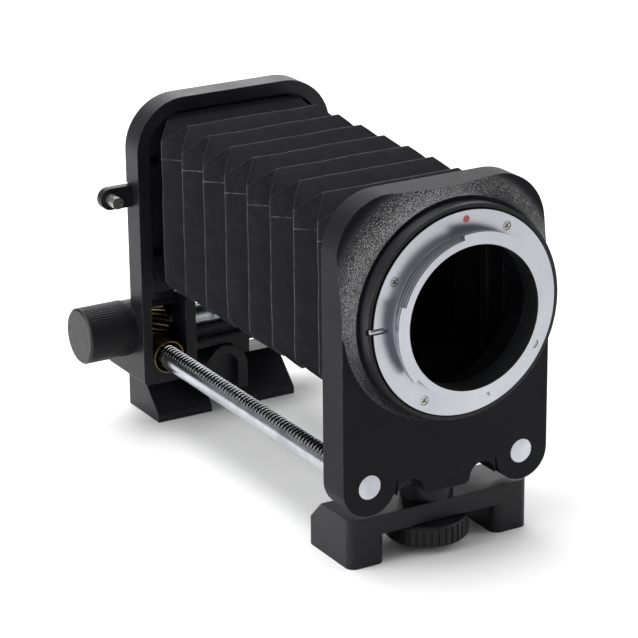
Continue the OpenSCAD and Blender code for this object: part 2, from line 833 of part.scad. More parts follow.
module rod_bushes() {
    color(brass) for (s = [-1, 1]) {
        difference() {
            rod_y(s * rod_x, rod_z, lens_front - bush_rim, lens_front + bush_l, bush_r);
            rod_y(s * rod_x, rod_z, lens_front - 1, lens_front + bush_l + 1, rod_r + run_gap);
            rod_y(s * rod_x, rod_z, lens_front - 1, lens_front + bush_recess, bush_r - bush_lip);
            if (s < 0) rod_x(-half_w, 0, shaft_y, shaft_z, tip_r + rod_bore_gap);
        }
        difference() {
            rod_y(s * rod_x, rod_z, block_back - bush_l, block_back, bush_r);
            rod_y(s * rod_x, rod_z, block_back - bush_l - 1, block_back + 1, rod_r + run_gap);
        }
    }
}

module lens_bayonet() {
    y1 = lens_back + lens_ring_t;
    color(chrome) difference() {
        turned() translate([lens_throat_d / 2, lens_back])
            square([(lens_ring_d - lens_throat_d) / 2, lens_ring_t]);
        for (a = lug_angles) rotate([0, lug_play - a, 0]) translate([0, y1 + 1, 0]) rotate([90, 0, 0])
            rotate_extrude(angle = lug_span + 2 * lug_play) translate([lens_throat_d / 2 - 1, 0])
                square([(lens_lug_gap_d - lens_throat_d) / 2 + 1, lens_lip_t + 1.8]);
        turned() translate([lens_throat_d / 2 - 1, lens_back - 1])
            square([(lens_lug_gap_d - lens_throat_d) / 2 + 1, lens_ring_t - lens_lip_t + 1]);
        for (a = mount_angles) {
            rod_y(lens_screw_circle_r * cos(a), lens_screw_circle_r * sin(a), lens_back - 1, y1 + 1,
                mount_screw_r + hole_gap);
            rod_y(lens_screw_circle_r * cos(a), lens_screw_circle_r * sin(a), y1 - head_seat, y1 + 1,
                mount_head_r + head_gap);
        }
        rod_y(0, lens_dot_circle_r, y1 - dot_depth, y1 + 1, dot_r);
    }
}

module lens_mount_screws() {
    y1 = lens_back + lens_ring_t;
    color(steel) for (a = mount_angles) difference() {
        x = lens_screw_circle_r * cos(a);
        z = lens_screw_circle_r * sin(a);
        union() {
            rod_y(x, z, y1 - head_seat, y1 - head_inset, mount_head_r);
            rod_y(x, z, lens_back - lens_screw_l, y1 - head_seat + 0.1, mount_screw_r);
        }
        cross_cut(x, z, y1 - head_inset - cross_depth, cross_size, cross_depth + 0.1);
    }
}

module lens_index_dot() {
    y1 = lens_back + lens_ring_t;
    color("#c22232") rod_y(0, lens_dot_circle_r, y1 - dot_depth, y1 + dot_proud, dot_r);
}

// ---------------------------------------------------------------- lens foot

module pad_outline() {
    polygon([[lens_foot_y0, ground_z], [lens_foot_y0, ground_z + lens_foot_lip],
        [lens_slope_y, lens_foot_top], [lens_foot_y1, lens_foot_top], [lens_foot_y1, ground_z]]);
}

module arch_outline(half, top, bottom) {
    translate([0, top - half]) circle(half);
    translate([-half, bottom]) square([2 * half, top - half - bottom]);
}

module lens_foot() {
    color(satin_black) difference() {
        union() {
            for (s = [-1, 1]) along_x(s > 0 ? pad_inner_x : -lens_foot_half_w,
                s > 0 ? lens_foot_half_w : -pad_inner_x) pad_outline();
            along_y(lens_foot_y0, lens_foot_y1) arch_outline(arch_half_w, arch_top, arch_bottom);
            translate([-block_inner_x + 1, lens_slope_y, foot_screw_seat])
                cube([2 * block_inner_x - 2, 2 * (foot_screw_y - lens_slope_y),
                    cross_bottom - foot_screw_seat]);
        }
        along_y(lens_foot_y0 - 1, lens_foot_y0 + arch_floor)
            arch_outline(arch_pocket_half_w, arch_pocket_top, arch_bottom - 1);
        for (s = [-1, 1]) translate([s * foot_screw_x, foot_screw_y, ground_z - 1]) {
            cylinder(h = cross_bottom - ground_z + 2, r = foot_screw_r + hole_gap);
            cylinder(h = foot_screw_seat - ground_z + 1, r = foot_screw_head_r + hole_gap);
        }
    }
}

module lens_foot_screws() {
    shank_l = cross_bottom - foot_screw_seat + foot_screw_bite;
    color(steel) for (s = [-1, 1])
        translate([s * foot_screw_x, foot_screw_y, foot_screw_seat - foot_screw_head_h]) difference() {
            union() {
                cylinder(h = foot_screw_head_h, r = foot_screw_head_r);
                cylinder(h = foot_screw_head_h + shank_l, r = foot_screw_r);
            }
            translate([0, 0, -eps]) cylinder(h = foot_screw_head_h / 2, r = foot_screw_head_r / 2, $fn = 6);
        }
}

// ---------------------------------------------------------------- release tab

// Shoulder screw that keeps the tab in its channel.
module tab_screw() {
    head_y = tab_y + tab_t + tab_head_gap;
    color(steel) difference() {
        union() {
            rod_y(tab_screw_x, tab_z, tab_y - tab_gap - tab_screw_depth, head_y, tab_screw_r);
            rod_y(tab_screw_x, tab_z, head_y, lens_back - 0.05, tab_screw_head_r);
        }
        translate([tab_screw_x - 3, lens_back - 0.3, tab_z - tab_slit_w / 2]) cube([6, 1, tab_slit_w]);
    }
}

// The tab with its nose, and the long hole that the screw and the spring lie in.
module release_tab() {
    slot_x1 = tab_screw_x + tab_screw_r + spring_l + 0.1;
    color(satin_black) difference() {
        along_y(tab_y, tab_y + tab_t) {
            translate([tab_tip_x, tab_z]) circle(tab_r);
            translate([tab_tip_x, tab_z - tab_r]) square([tab_inner_x - tab_tip_x, 2 * tab_r]);
            translate([tab_inner_x - 1, tab_z - tab_nose_r])
                square([tab_nose_x - tab_inner_x + 1, 2 * tab_nose_r]);
        }
        translate([tab_screw_x, tab_y - 1, tab_z - tab_screw_r - run_gap])
            cube([slot_x1 - tab_screw_x, tab_t + 2, 2 * (tab_screw_r + run_gap)]);
        rod_y(tab_screw_x, tab_z, tab_y - 1, lens_back + 1, tab_screw_r + run_gap);
        rod_y(tab_tip_x, tab_z, tab_y - 1, lens_back + 1, tab_stud_r);
    }
}

module tab_stud() {
    color(steel) rod_y(tab_tip_x, tab_z, tab_y + tab_t - tab_stud_l, tab_y + tab_t, tab_stud_r);
}

// Zigzag spring between the fixed screw and the inner end of the tab's long hole.
module release_spring() {
    x0 = tab_screw_x + tab_screw_r + 0.05;
    h = tab_screw_r - 0.15;
    pitch = spring_l / spring_bends;
    zigzag = [for (i = [0 : spring_bends]) [x0 + i * pitch, tab_z - h + (i % 2) * (2 * h - spring_rise)]];
    color(steel) along_y(tab_y + spring_side_gap, tab_y + tab_t - spring_side_gap)
        polygon(concat(zigzag, [for (i = [spring_bends : -1 : 0]) zigzag[i] + [0, spring_rise]]));
}

// ---------------------------------------------------------------- focus drive

function involute(r) = r <= base_r ? 0 : let (a = acos(base_r / r)) tan(a) * 180 / PI - a;

// Half the angle of a pinion tooth at radius r.
function tooth_half(r) =
    90 / gear_teeth - backlash / 4 / pitch_r * 180 / PI + involute(pitch_r) - involute(r);

function tooth_points(mid) =
    let (radii = [root_r, base_r + 0.1, pitch_r, tip_r - 0.05])
    concat([for (r = radii) r * [cos(mid - tooth_half(r)), sin(mid - tooth_half(r))]],
        [for (i = [3 : -1 : 0]) let (r = radii[i], a = mid + tooth_half(r)) r * [cos(a), sin(a)]]);

// A twist over the toothed length that matches the rack's slant.
pinion_twist = pinion_w * tan(helix) / pitch_r * 180 / PI;

module pinion_gear() {
    x0 = -rod_x - pinion_w / 2;
    color(brass) difference() {
        union() {
            translate([x0, shaft_y, shaft_z]) rotate([90, 0, 90]) rotate([0, 0, -pinion_twist / 2])
                linear_extrude(pinion_w, twist = -pinion_twist, slices = 6)
                    polygon([for (i = [0 : gear_teeth - 1]) each tooth_points(-90 + i * 360 / gear_teeth)]);
            rod_x(x0 - gear_shoulder, x0 + eps, shaft_y, shaft_z, root_r - 0.1);
            rod_x(x0 + pinion_w - eps, x0 + pinion_w + gear_shoulder, shaft_y, shaft_z, root_r - 0.1);
        }
        rod_x(x0 - 2, x0 + pinion_w + 2, shaft_y, shaft_z, shaft_d / 2);
    }
}

module pinion_shaft() {
    color(steel) rod_x(-half_w - shaft_reach, post_x + nut_bore_l, shaft_y, shaft_z, shaft_d / 2);
}

// The nut that sets the drag, with a notch across its outer part for a key.
module tension_nut() {
    color(chrome) difference() {
        rod_x(post_x + nut_side_gap, post_x + nut_l, shaft_y, shaft_z, nut_r);
        rod_x(post_x - 1, post_x + nut_bore_l, shaft_y, shaft_z, shaft_d / 2);
        translate([nut_notch_x, shaft_y - nut_r - 1, shaft_z + nut_notch_floor])
            cube([nut_notch_w, 2 * nut_r + 2, 2 * nut_r]);
    }
}

module focus_knob() {
    x1 = -half_w - knob_stand;
    x0 = x1 - knob_l;
    color(plastic_black) difference() {
        union() {
            rod_x(x0 + knob_edge, x1, shaft_y, shaft_z, knob_d / 2);
            translate([x0, shaft_y, shaft_z]) rotate([0, 90, 0])
                cylinder(h = knob_edge, r1 = knob_d / 2 - knob_edge, r2 = knob_d / 2);
            rod_x(x1, -half_w - knob_side_gap, shaft_y, shaft_z, knob_hub_r);
        }
        for (i = [0 : knob_ribs - 1])
            translate([0, shaft_y, shaft_z]) rotate([(i + 0.5) * 360 / knob_ribs, 0, 0])
                translate([x0 + knob_rib_start, -knob_rib_w / 2, knob_d / 2 - knob_rib_depth])
                    cube([knob_l, knob_rib_w, 1]);
        rod_x(-half_w - shaft_reach, -half_w + 1, shaft_y, shaft_z, shaft_d / 2);
        translate([x1 - knob_grub_y, shaft_y, shaft_z]) rotate([180, 0, 0])
            cylinder(h = knob_d, r = knob_grub_r + 0.05);
    }
}

module knob_grub_screw() {
    bottom = shaft_z - shaft_d / 2 - run_gap - knob_grub_l;
    color(steel) translate([-half_w - knob_stand - knob_grub_y, shaft_y, bottom])
        difference() {
            cylinder(h = knob_grub_l, r = knob_grub_r);
            translate([0, 0, -eps]) cylinder(h = hex_depth, r = knob_grub_r / 2, $fn = 6);
        }
}

// ---------------------------------------------------------------- travel lock

module lock_pad() {
    color(brass) rod_x(lock_pad_x0, lock_pad_x1, lock_y, rod_z, lock_pad_r);
}

module lock_knob() {
    x1 = lock_knob_x0;
    color(plastic_black) difference() {
        union() {
            rod_x(lock_pad_x1, x1 + 1, lock_y, rod_z, lock_shaft_r);
            rod_x(x1, x1 + lock_knob_l, lock_y, rod_z, lock_knob_r);
            rod_x(x1 - lock_hub_l, x1 + 1, lock_y, rod_z, lock_hub_r);
        }
        for (i = [0 : lock_ribs - 1]) translate([0, lock_y, rod_z]) rotate([i * 360 / lock_ribs, 0, 0])
            translate([x1 + lock_rib_start, -lock_rib_w / 2, lock_knob_r - lock_rib_depth])
                cube([lock_knob_l, lock_rib_w, 1]);
    }
}

// ---------------------------------------------------------------- the nodes

camera_standard();
mount_collar();
camera_bayonet();
mount_screws();
index_dot();
lock_pin();
rack_rod();
plain_rod();
rod_grub_screws();
rod_stops();
camera_bellows_frame();
camera_frame_screws();
bellows();
camera_foot();
clamp_washer();
thumb_wheel();
clamp_stud();
lens_standard();
left_rod_block();
right_rod_block();
block_bridge();
rod_bushes();
lens_bellows_frame();
lens_frame_screws();
lens_bayonet();
lens_mount_screws();
lens_index_dot();
lens_foot();
lens_foot_screws();
tab_screw();
release_tab();
tab_stud();
release_spring();
pinion_gear();
pinion_shaft();
focus_knob();
knob_grub_screw();
tension_nut();
lock_pad();
lock_knob();
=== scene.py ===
"""Looks of the macro bellows unit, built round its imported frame."""

import math

import bmesh
import bpy
from bpy.props import FloatProperty, FloatVectorProperty, IntProperty
from bpy.props import PointerProperty, StringProperty
from mathutils import Matrix, Vector, noise


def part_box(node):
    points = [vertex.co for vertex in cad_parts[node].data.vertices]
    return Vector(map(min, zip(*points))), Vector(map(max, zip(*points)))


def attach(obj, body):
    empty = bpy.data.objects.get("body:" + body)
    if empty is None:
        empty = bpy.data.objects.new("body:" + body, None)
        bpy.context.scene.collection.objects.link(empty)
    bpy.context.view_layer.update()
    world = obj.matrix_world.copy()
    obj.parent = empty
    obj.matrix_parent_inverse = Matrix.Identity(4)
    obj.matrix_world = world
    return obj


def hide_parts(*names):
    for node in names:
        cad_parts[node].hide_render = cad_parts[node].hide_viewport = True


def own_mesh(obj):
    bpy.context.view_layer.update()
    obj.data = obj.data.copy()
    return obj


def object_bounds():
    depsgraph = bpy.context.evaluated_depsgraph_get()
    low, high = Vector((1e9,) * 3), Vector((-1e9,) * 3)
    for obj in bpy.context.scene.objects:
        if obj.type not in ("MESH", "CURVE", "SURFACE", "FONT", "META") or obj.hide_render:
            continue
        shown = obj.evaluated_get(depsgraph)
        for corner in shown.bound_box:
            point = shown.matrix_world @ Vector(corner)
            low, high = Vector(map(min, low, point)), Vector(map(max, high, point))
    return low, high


bl_info = {
    "name": "Macro Bellows Unit",
    "version": (1, 0, 0),
    "blender": (4, 5, 0),
    "location": "3D View > Sidebar > Bellows",
    "description": "Finishes and cloth of a macro bellows unit, with its studio",
    "category": "Object",
}

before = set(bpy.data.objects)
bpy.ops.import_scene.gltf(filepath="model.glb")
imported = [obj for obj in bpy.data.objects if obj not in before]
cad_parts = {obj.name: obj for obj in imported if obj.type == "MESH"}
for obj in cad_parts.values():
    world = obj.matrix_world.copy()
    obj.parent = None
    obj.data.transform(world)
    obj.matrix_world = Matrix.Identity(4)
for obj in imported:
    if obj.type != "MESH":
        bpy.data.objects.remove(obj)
cad_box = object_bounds()

MM = 0.001
OPTICAL_AXIS = (0, 0, 0)


# ------------------------------------------------------------------ shared helpers


def linear(hex_colour):
    """An sRGB hex colour such as "#808080" as linear RGBA."""
    values = [int(hex_colour[i:i + 2], 16) / 255 for i in (1, 3, 5)]
    rgb = [v / 12.92 if v <= 0.04045 else ((v + 0.055) / 1.055) ** 2.4 for v in values]
    return (*rgb, 1.0)


def add_node(tree, kind, inputs=None, **settings):
    """Adds a node, sets its settings and inputs, and links an input that is given as a socket."""
    node = tree.nodes.new(kind)
    for name, value in settings.items():
        setattr(node, name, value)
    for name, value in (inputs or {}).items():
        if isinstance(value, bpy.types.NodeSocket):
            tree.links.new(value, node.inputs[name])
        else:
            node.inputs[name].default_value = value
    return node


def new_material(name, **surface):
    """A material with these values on its Principled shader, and its tree and that shader."""
    material = bpy.data.materials.new(name)
    material.use_nodes = True
    tree = material.node_tree
    shader = tree.nodes["Principled BSDF"]
    for socket, value in surface.items():
        shader.inputs[socket.replace("_", " ")].default_value = value
    return material, tree, shader


def object_point(tree):
    """The socket of the point in the part's own frame, in metres."""
    return add_node(tree, "ShaderNodeTexCoord").outputs["Object"]


def grain(tree, point, size_mm, detail=3.0, rough=0.55):
    """A noise whose blobs are about size_mm across, as a socket from 0 to 1."""
    scale = 1.0 / (size_mm * MM)
    node = add_node(tree, "ShaderNodeTexNoise",
                    {"Vector": point, "Scale": scale, "Detail": detail, "Roughness": rough})
    return node.outputs["Fac"]


def between(tree, value, low, high, out_low=0.0, out_high=1.0):
    """The value mapped from low..high to out_low..out_high, clamped."""
    inputs = {"Value": value, "From Min": low, "From Max": high,
              "To Min": out_low, "To Max": out_high}
    return add_node(tree, "ShaderNodeMapRange", inputs).outputs["Result"]


def mixed(tree, share, colour_a, colour_b):
    """Colour a where share is 0 and colour b where it is 1."""
    node = add_node(tree, "ShaderNodeMix", {0: share, 6: colour_a, 7: colour_b}, data_type="RGBA")
    return node.outputs[2]


def calc(tree, operation, a, b=0.0):
    """One sum on two values."""
    return add_node(tree, "ShaderNodeMath", {0: a, 1: b}, operation=operation).outputs["Value"]


def vector_sum(tree, operation, a, b, output="Vector"):
    """One sum on two vectors."""
    return add_node(tree, "ShaderNodeVectorMath", {0: a, 1: b}, operation=operation).outputs[output]


def component(tree, vector, axis):
    """The "X", "Y" or "Z" of a vector."""
    return add_node(tree, "ShaderNodeSeparateXYZ", {"Vector": vector}).outputs[axis]


def facing(tree, axis):
    """1 where the surface faces along "X", "Y" or "Z", either way, and 0 where it is side on."""
    normal = add_node(tree, "ShaderNodeNewGeometry").outputs["Normal"]
    return calc(tree, "ABSOLUTE", component(tree, normal, axis))


def softened_edges(tree, radius_mm):
    """The surface normal with edges rounded by radius_mm."""
    bevel = add_node(tree, "ShaderNodeBevel", {"Radius": radius_mm * MM}, samples=6)
    return bevel.outputs["Normal"]


def edge_share(tree, radius_mm):
    """1 along outer edges of the piece and 0 on its flats."""
    normal = add_node(tree, "ShaderNodeNewGeometry").outputs["Normal"]
    likeness = vector_sum(tree, "DOT_PRODUCT", normal, softened_edges(tree, radius_mm), "Value")
    return between(tree, likeness, 0.995, 0.93)


def raise_surface(tree, shader, height, depth_mm, strength, normal=None):
    """Bumps the shader's surface by a height from 0 to 1 that stands for depth_mm."""
    inputs = {"Height": height, "Distance": depth_mm * MM, "Strength": strength}
    if normal is not None:
        inputs["Normal"] = normal
    bump = add_node(tree, "ShaderNodeBump", inputs)
    tree.links.new(bump.outputs["Normal"], shader.inputs["Normal"])


def distance_from_axis(tree, point, axis, through):
    """Metres from a line along "X", "Y" or "Z" through a point."""
    keep = [0.0 if name == axis else 1.0 for name in "XYZ"]
    moved = vector_sum(tree, "SUBTRACT", point, through)
    flat = vector_sum(tree, "MULTIPLY", moved, keep)
    return add_node(tree, "ShaderNodeVectorMath", {0: flat}, operation="LENGTH").outputs["Value"]


def waves(tree, distance, pitch_mm):
    """A sine from -1 to 1 that repeats every pitch_mm of a distance."""
    return calc(tree, "SINE", calc(tree, "MULTIPLY", distance, 2 * math.pi / (pitch_mm * MM)))


def dress(material, *nodes):
    """Gives the CAD nodes this material."""
    for name in nodes:
        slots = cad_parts[name].data.materials
        slots.clear()
        slots.append(material)


def centre(node):
    """Middle of a CAD node's box."""
    low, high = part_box(node)
    return (low + high) / 2


# ------------------------------------------------------------------ settings


class BellowsFinishes(bpy.types.PropertyGroup):
    """Colours of the unit's finishes, as sRGB hex values."""

    paint: StringProperty(name="Paint", description="Enamel of the castings", default="#101014")
    chrome: StringProperty(name="Chrome", description="Chrome of the rings", default="#b9bbc1")
    rod: StringProperty(name="Rods", description="Bright chrome of the rods", default="#bcbec4")
    steel: StringProperty(name="Steel", description="Screws and pins", default="#b4b2ae")
    brass: StringProperty(name="Brass", description="Crests of the pinion", default="#b39a68")
    bush: StringProperty(name="Bushes", description="Rims of the bushes", default="#8d7c56")
    plastic: StringProperty(name="Knobs", description="Knobs and thumb wheel", default="#101013")
    cloth: StringProperty(name="Cloth", description="Coated cloth of the folds", default="#0b0b10")
    worn: StringProperty(name="Worn folds", description="Fold edges with the coating rubbed off",
                         default="#6d6d74")
    enamel: StringProperty(name="Index dots", description="Red enamel", default="#b3202f")


class BellowsCloth(bpy.types.PropertyGroup):
    """Sizes of the folded cloth."""

    folds: IntProperty(name="Folds", description="Pleats between the first and the last top ridge",
                       default=8, min=4)
    start: FloatProperty(name="First strip", default=4.1 * MM, unit="LENGTH",
                         description="From the camera's end to the first top ridge")
    stop: FloatProperty(name="Last strip", description="From the last top ridge to the lens end",
                        default=0.3 * MM, unit="LENGTH")
    depth: FloatProperty(name="Fold depth", description="From a ridge down to a valley",
                         default=6.6 * MM, unit="LENGTH")
    ridge: FloatProperty(name="Ridge radius", description="Radius that the cloth folds round",
                         default=0.6 * MM, unit="LENGTH")
    seam_below: FloatProperty(name="Seam", default=6 * MM, unit="LENGTH",
                              description="From a side's upper corner down to the seam along it")
    thickness: FloatProperty(name="Thickness", description="Cloth with its card",
                             default=0.7 * MM, unit="LENGTH")


class BellowsStage(bpy.types.PropertyGroup):
    """The studio and its camera."""

    azimuth: FloatProperty(name="Azimuth", description="Camera's turn from straight ahead",
                           default=math.radians(-30.172), subtype="ANGLE")
    elevation: FloatProperty(name="Elevation", description="Camera's height angle",
                             default=math.radians(19.859), subtype="ANGLE")
    roll: FloatProperty(name="Roll", description="Camera's roll", default=math.radians(-0.6),
                        subtype="ANGLE")
    distance: FloatProperty(name="Distance", description="Camera's distance along its axis",
                            default=824.57 * MM, unit="LENGTH")
    offset: FloatVectorProperty(name="Offset", size=2, default=(-39.315 * MM, -4.521 * MM),
                                unit="LENGTH",
                                description="Camera's shift to its right and up, from the mount")
    plate_front: FloatProperty(name="Plate front", default=9.7 * MM, unit="LENGTH",
                               description="Plane that the camera is aimed through")
    lens: FloatProperty(name="Lens", description="Focal length in millimetres on a 36 mm frame",
                        default=152.75)
    floor: StringProperty(name="Floor", description="Colour of the floor", default="#f4f4f4")


# ------------------------------------------------------------------ materials


def stoved_paint(name, colour, crinkle=False):
    """Die-cast aluminium with stoved black enamel: satin, a fine orange peel and rubbed edges."""
    material, tree, shader = new_material(name, IOR=1.5, Specular_IOR_Level=0.24)
    point = object_point(tree)
    clouds = grain(tree, point, 14.0)
    flat = mixed(tree, between(tree, clouds, 0.35, 0.7), linear(colour), linear("#16161b"))
    patches = between(tree, grain(tree, point, 2.5), 0.5, 0.75)
    worn = calc(tree, "MULTIPLY", edge_share(tree, 0.35), patches)
    tree.links.new(mixed(tree, worn, flat, linear("#4a4a4c")), shader.inputs["Base Color"])
    # Orange peel of sprayed enamel, about 0.35 mm from lump to lump.
    peel = grain(tree, point, 0.35, detail=2.0)
    if crinkle:
        # Crinkle enamel on the front outside the bore: glossy ridges about 0.75 mm apart, which
        # stand highest in the hollow round the mount and low on the flats.
        ridge_gap, bore_radius = 0.75 * MM, 28 * MM
        cells = add_node(tree, "ShaderNodeTexVoronoi", {"Vector": point, "Scale": 1.0 / ridge_gap},
                         feature="DISTANCE_TO_EDGE").outputs["Distance"]
        radius = distance_from_axis(tree, point, "Y", OPTICAL_AXIS)
        outside = calc(tree, "GREATER_THAN", radius, bore_radius)
        ahead = facing(tree, "Y")
        front = calc(tree, "MULTIPLY", between(tree, ahead, 0.05, 0.2), outside)
        hollow = calc(tree, "MULTIPLY", between(tree, ahead, 0.995, 0.93), front)
        lumps = calc(tree, "MULTIPLY", between(tree, cells, 0.0, 0.28), front)
        lumps = calc(tree, "MULTIPLY", lumps, calc(tree, "ADD", hollow, 0.25))
        height = calc(tree, "ADD", calc(tree, "MULTIPLY", peel, 0.25), lumps)
        raise_surface(tree, shader, height, 0.1, 0.9, softened_edges(tree, 0.3))
        tree.links.new(between(tree, hollow, 0.0, 1.0, 0.5, 0.24), shader.inputs["Roughness"])
        gloss = between(tree, hollow, 0.0, 1.0, 0.1, 0.75)
        tree.links.new(gloss, shader.inputs["Specular IOR Level"])
    else:
        raise_surface(tree, shader, peel, 0.03, 0.6, softened_edges(tree, 0.4))
        tree.links.new(between(tree, clouds, 0.2, 0.8, 0.36, 0.5), shader.inputs["Roughness"])
    return material


def satin_chrome(name, colour):
    """Satin chrome on turned brass: metallic, with fine turning rings round the optical axis."""
    material, tree, shader = new_material(name, Metallic=1.0)
    point = object_point(tree)
    radius = distance_from_axis(tree, point, "Y", OPTICAL_AXIS)
    # Turning rings are 0.1 mm apart on the real ring and are drawn at 0.45 mm so that they show.
    rings = calc(tree, "MULTIPLY", waves(tree, radius, 0.45), 0.5)
    clouds = grain(tree, point, 30.0)
    face = mixed(tree, between(tree, clouds, 0.3, 0.75), linear(colour), linear("#aaacb2"))
    # The tube's side is turned in steps, whose shoulders lie about 1.3 mm apart and look dark; the
    # dark bands on its side-on faces are painted shade.
    steps = between(tree, waves(tree, component(tree, point, "Y"), 1.3), 0.1, 0.8, 0.0, 0.7)
    shoulder_shade = calc(tree, "MULTIPLY", steps, between(tree, facing(tree, "Y"), 0.6, 0.3))
    tree.links.new(mixed(tree, shoulder_shade, face, linear("#4d4f57")), shader.inputs["Base Color"])
    smears = grain(tree, point, 9.0)
    tree.links.new(between(tree, smears, 0.25, 0.75, 0.28, 0.34), shader.inputs["Roughness"])
    raise_surface(tree, shader, rings, 0.004, 0.5, softened_edges(tree, 0.08))
    return material


def bright_chrome(name, colour, core=None, core_radius_mm=0.0, teeth_from=0.0):
    """Hard chrome on ground steel: a soft mirror, with faint drawn lines and painted shade deep in
    any grooves.

    A toothed rod gives a point on its axis as its core, its radius and where its teeth start.
    """
    material, tree, shader = new_material(name, Metallic=1.0)
    point = object_point(tree)
    drawn = {"Vector": point, "Scale": (1, 0.04, 1)}
    lines = grain(tree, add_node(tree, "ShaderNodeMapping", drawn).outputs["Vector"], 0.5)
    tree.links.new(between(tree, lines, 0.3, 0.7, 0.16, 0.28), shader.inputs["Roughness"])
    smears = between(tree, grain(tree, point, 9.0), 0.35, 0.7)
    bright = mixed(tree, smears, linear(colour), linear("#9c9ea5"))
    if core is not None:
        radius = distance_from_axis(tree, point, "Y", core)
        # Painted shade: the rod is darkened deep in the grooves, below the teeth's crests.
        depth = between(tree, radius, (core_radius_mm - 0.12) * MM, (core_radius_mm - 0.35) * MM)
        # Only the toothed length has grooves; the rod's end before it is plain.
        toothed = calc(tree, "GREATER_THAN", component(tree, point, "Y"), teeth_from)
        bright = mixed(tree, calc(tree, "MULTIPLY", depth, toothed), bright, linear("#1a1917"))
    tree.links.new(bright, shader.inputs["Base Color"])
    raise_surface(tree, shader, lines, 0.002, 0.3, softened_edges(tree, 0.15))
    return material


def turned_steel(name, colour):
    """Zinc-plated steel screws: metallic, slightly dull, with darker spots at random."""
    material, tree, shader = new_material(name, Metallic=1.0)
    point = object_point(tree)
    spots = grain(tree, point, 0.8)
    tree.links.new(mixed(tree, between(tree, spots, 0.45, 0.75), linear(colour), linear("#5d5c58")),
                   shader.inputs["Base Color"])
    tree.links.new(between(tree, spots, 0.2, 0.8, 0.25, 0.45), shader.inputs["Roughness"])
    raise_surface(tree, shader, grain(tree, point, 0.3), 0.01, 0.4, softened_edges(tree, 0.12))
    return material


def blackened_steel(name):
    """Steel screws with black oxide: dark and oily, so the frames' screws hardly show."""
    material, tree, shader = new_material(name, Metallic=1.0, Roughness=0.45)
    point = object_point(tree)
    tree.links.new(mixed(tree, grain(tree, point, 0.8), linear("#0c0c0f"), linear("#1d1d21")),
                   shader.inputs["Base Color"])
    raise_surface(tree, shader, grain(tree, point, 0.3), 0.01, 0.4, softened_edges(tree, 0.12))
    return material


def machined_brass(name, colour, axis, through, inner_mm, outer_mm):
    """Cut brass that has dulled: warm at its outer radius, and nearly black inside it with old
    grease and painted shade.

    Along Y there are two axes, one through the point and one on the other side of the part.
    """
    material, tree, shader = new_material(name, Metallic=1.0, Roughness=0.3)
    point = object_point(tree)
    tarnish = between(tree, grain(tree, point, 2.2), 0.35, 0.75, 0.0, 0.6)
    base = mixed(tree, tarnish, linear(colour), linear("#70603f"))
    radius = distance_from_axis(tree, point, axis, through)
    if axis == "Y":
        mirrored = vector_sum(tree, "MULTIPLY", point, (-1, 1, 1))
        radius = calc(tree, "MINIMUM", radius, distance_from_axis(tree, mirrored, axis, through))
    # Painted shade: below the crest the brass darkens to nearly black, in the tooth roots and round
    # the rod, together with old grease.
    lit_crest = between(tree, radius, inner_mm * MM, outer_mm * MM)
    base = mixed(tree, lit_crest, linear("#0d0a06"), base)
    tree.links.new(base, shader.inputs["Base Color"])
    raise_surface(tree, shader, grain(tree, point, 0.25), 0.008, 0.5, softened_edges(tree, 0.08))
    return material


def moulded_plastic(name, colour):
    """Moulded black ABS with a fine spark-eroded grain."""
    material, tree, shader = new_material(name, IOR=1.53, Specular_IOR_Level=0.25)
    point = object_point(tree)
    clouds = grain(tree, point, 7.0)
    tree.links.new(mixed(tree, between(tree, clouds, 0.35, 0.7), linear(colour), linear("#1a1a1e")),
                   shader.inputs["Base Color"])
    tree.links.new(between(tree, clouds, 0.2, 0.8, 0.42, 0.55), shader.inputs["Roughness"])
    sparks = grain(tree, point, 0.3, detail=2.0)
    raise_surface(tree, shader, sparks, 0.03, 0.6, softened_edges(tree, 0.25))
    return material


def anodised_knob(name, colour, node, groove_mm):
    """Black anodised aluminium of a knob along X: turned ends, ribs that have rubbed grey, and
    painted shade near black in the grooves between the ribs.
    """
    material, tree, shader = new_material(name, IOR=1.6, Specular_IOR_Level=0.25)
    point = object_point(tree)
    low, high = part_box(node)
    crest_radius = (high.z - low.z) / 2
    radius = distance_from_axis(tree, point, "X", tuple(centre(node)))
    lit_crest = between(tree, radius, crest_radius - groove_mm * MM, crest_radius - 0.04 * MM)
    # Painted shade: away from the crests and the end faces the knob is painted near black, as shade
    # in the grooves.
    lit = calc(tree, "MAXIMUM", lit_crest, between(tree, facing(tree, "X"), 0.5, 0.8))
    body = mixed(tree, lit, linear("#020203"), linear(colour))
    rubbed = calc(tree, "MULTIPLY", calc(tree, "MULTIPLY", edge_share(tree, 0.12), lit_crest), 0.4)
    tree.links.new(mixed(tree, rubbed, body, linear("#4a4a50")), shader.inputs["Base Color"])
    clouds = grain(tree, point, 3.0)
    tree.links.new(between(tree, clouds, 0.2, 0.8, 0.34, 0.48), shader.inputs["Roughness"])
    raise_surface(tree, shader, grain(tree, point, 0.25), 0.02, 0.5, softened_edges(tree, 0.2))
    return material


def red_enamel(name, colour):
    """Baked red enamel that fills a drilled dimple: glossy and a little domed."""
    material, tree, shader = new_material(name, Roughness=0.22, IOR=1.5, Coat_Weight=0.6)
    point = object_point(tree)
    tree.links.new(mixed(tree, grain(tree, point, 0.6), linear(colour), linear("#8f1623")),
                   shader.inputs["Base Color"])
    raise_surface(tree, shader, grain(tree, point, 0.7), 0.03, 0.4)
    return material


